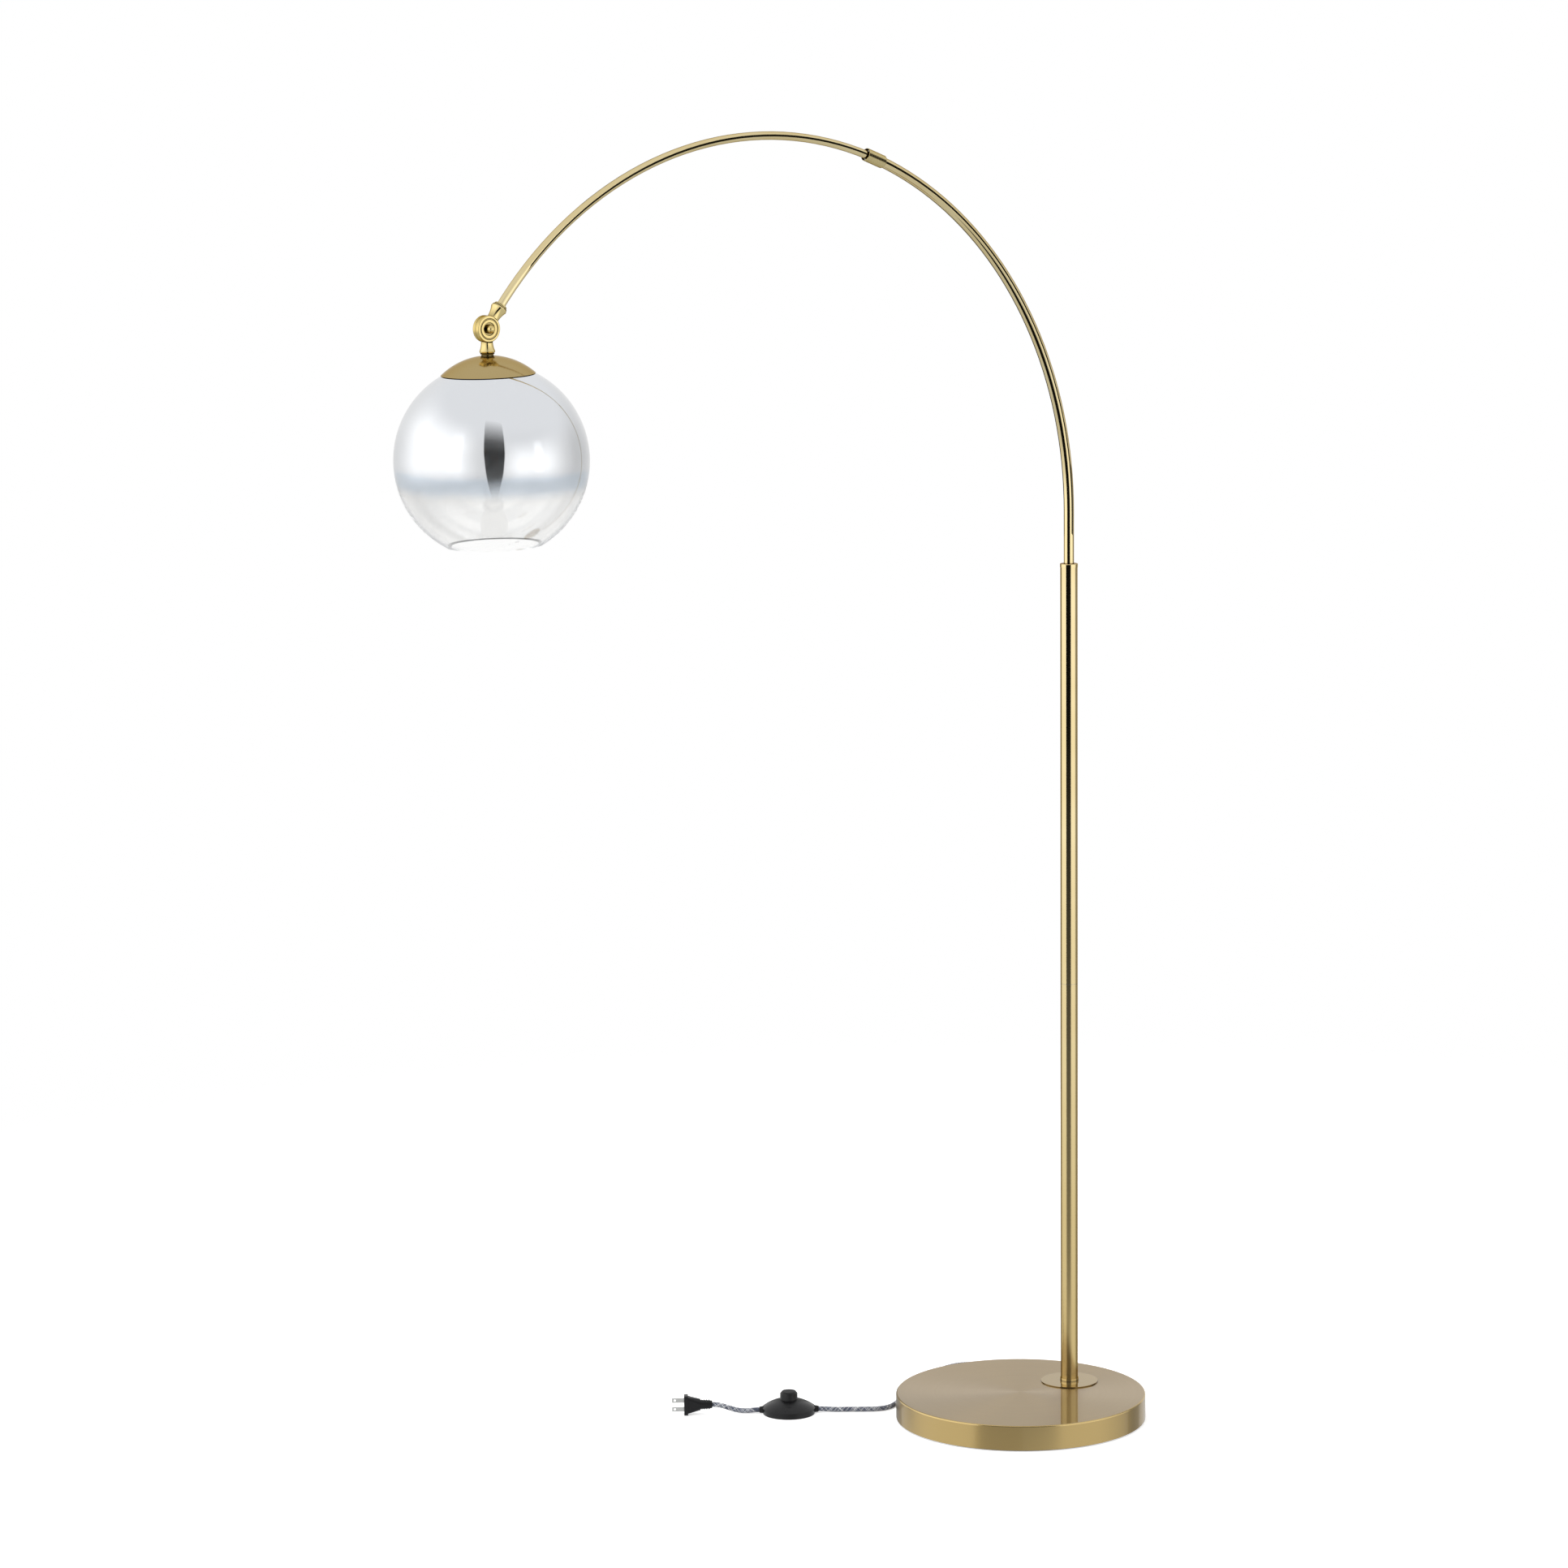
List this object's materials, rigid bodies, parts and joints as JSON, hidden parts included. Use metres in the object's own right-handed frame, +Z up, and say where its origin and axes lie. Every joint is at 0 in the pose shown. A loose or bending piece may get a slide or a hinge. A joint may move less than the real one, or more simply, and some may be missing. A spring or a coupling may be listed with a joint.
{
  "type": "arc floor lamp",
  "caption": "Arc floor lamp with a round weighted base, telescoping curved arm, tilting knuckle and open glass globe, with a corded foot switch.",
  "frame": {"origin": "centre of the round base, on the floor under its felt", "axes": "+Z up along the pole, the arm reaches out along -X from the pole at +X, Y across the arm's plane"},
  "size_m": [1.2142, 0.4947, 1.803],
  "materials": {
    "felt": "dense needle felt",
    "plate_steel": "zinc plated",
    "iron": "rough casting, painted",
    "satin_brass": "satin spun brass, circular brushing",
    "pole_brass": "satin brass, brushed along its length",
    "polished_brass": "polished brass",
    "nylon": "moulded nylon",
    "globe_glass": "clear below, mirrored to silver at the top",
    "socket_black": "phenolic",
    "socket_white": "glazed white socket",
    "contact_brass": "bright",
    "bulb_cap": "bright",
    "bulb_clear": "thin clear glass",
    "filament": "coated filament sticks",
    "rubber_black": "soft rubber",
    "lead_jacket": "smooth jacket",
    "cord_braid": "braided in navy, grey and white",
    "switch_black": "gloss black moulding",
    "plug_black": "semi-gloss black moulding",
    "blade_steel": "nickel plated",
    "mechanism_brown": "switch block"
  },
  "bodies": {
    "stand": {"bottom_felt": "felt", "bottom_plate": "plate_steel", "bottom_screws": "plate_steel", "base_weight": "iron", "base_cover": "satin_brass", "cord_gland": "rubber_black", "pole_flange": "polished_brass", "pole_foot_ring": "polished_brass", "pole_foot_plug": "plate_steel", "pole_nipple": "plate_steel", "nipple_washer": "plate_steel", "nipple_nut": "plate_steel", "pole_lower": "pole_brass", "pole_coupler": "plate_steel", "pole_upper": "pole_brass", "pole_top_bushing": "polished_brass", "lead_pole": "lead_jacket", "cord_base_run": "cord_braid", "cord_hank": "cord_braid", "hank_ties": "rubber_black", "cord_switch_run": "cord_braid", "cord_plug_run": "cord_braid", "switch_base": "switch_black", "switch_cover": "switch_black", "switch_spring": "plate_steel", "switch_mechanism": "mechanism_brown", "switch_screws": "plate_steel", "switch_grommets": "rubber_black", "plug_body": "plug_black", "plug_blades": "blade_steel"},
    "arm": {"arm_lower_tube": "polished_brass", "arm_collar": "polished_brass", "collar_bushing": "nylon", "lead_arm": "lead_jacket"},
    "arm_tip": {"arm_tip_tube": "polished_brass", "tip_guide": "nylon", "knuckle_upper": "polished_brass", "friction_washer": "nylon", "knuckle_screw": "polished_brass", "knuckle_nut": "polished_brass", "lead_tip": "lead_jacket"},
    "head": {"knuckle_lower": "polished_brass", "shade_cap": "satin_brass", "cap_nipple": "plate_steel", "cap_nut": "plate_steel", "shade_holder": "plate_steel", "shade_gasket": "rubber_black", "shade_ring": "socket_black", "shade_glass": "globe_glass", "socket_cap": "socket_black", "socket_body": "socket_white", "socket_shell": "contact_brass", "socket_contact": "contact_brass", "bulb_base": "bulb_cap", "bulb_glass": "bulb_clear", "bulb_stem": "bulb_clear", "bulb_filaments": "filament", "lead_head": "lead_jacket"},
    "button": {"switch_button": "switch_black"}
  },
  "joints": [
    {"name": "arm_swivel", "type": "hinge", "parent": "stand", "child": "arm", "pos_m": [0.09, 0, 0], "axis": [0, 0, 1], "range_deg": [-90, 90]},
    {"name": "arm_extend", "type": "hinge", "parent": "arm", "child": "arm_tip", "pos_m": [-0.43812, 0, 1.26938], "axis": [0, -1, 0], "range_deg": [-20, 10]},
    {"name": "head_tilt", "type": "hinge", "parent": "arm_tip", "child": "head", "pos_m": [-0.87415, 0, 1.56958], "axis": [0, 1, 0], "range_deg": [-60, 60]},
    {"name": "switch_press", "type": "slide", "parent": "stand", "child": "button", "axis": [0, 0, -1], "range_m": [0, 0.0035], "stiffness_N_per_m": 1800, "springref_m": -0.003, "deforming": ["switch_spring"]}
  ]
}
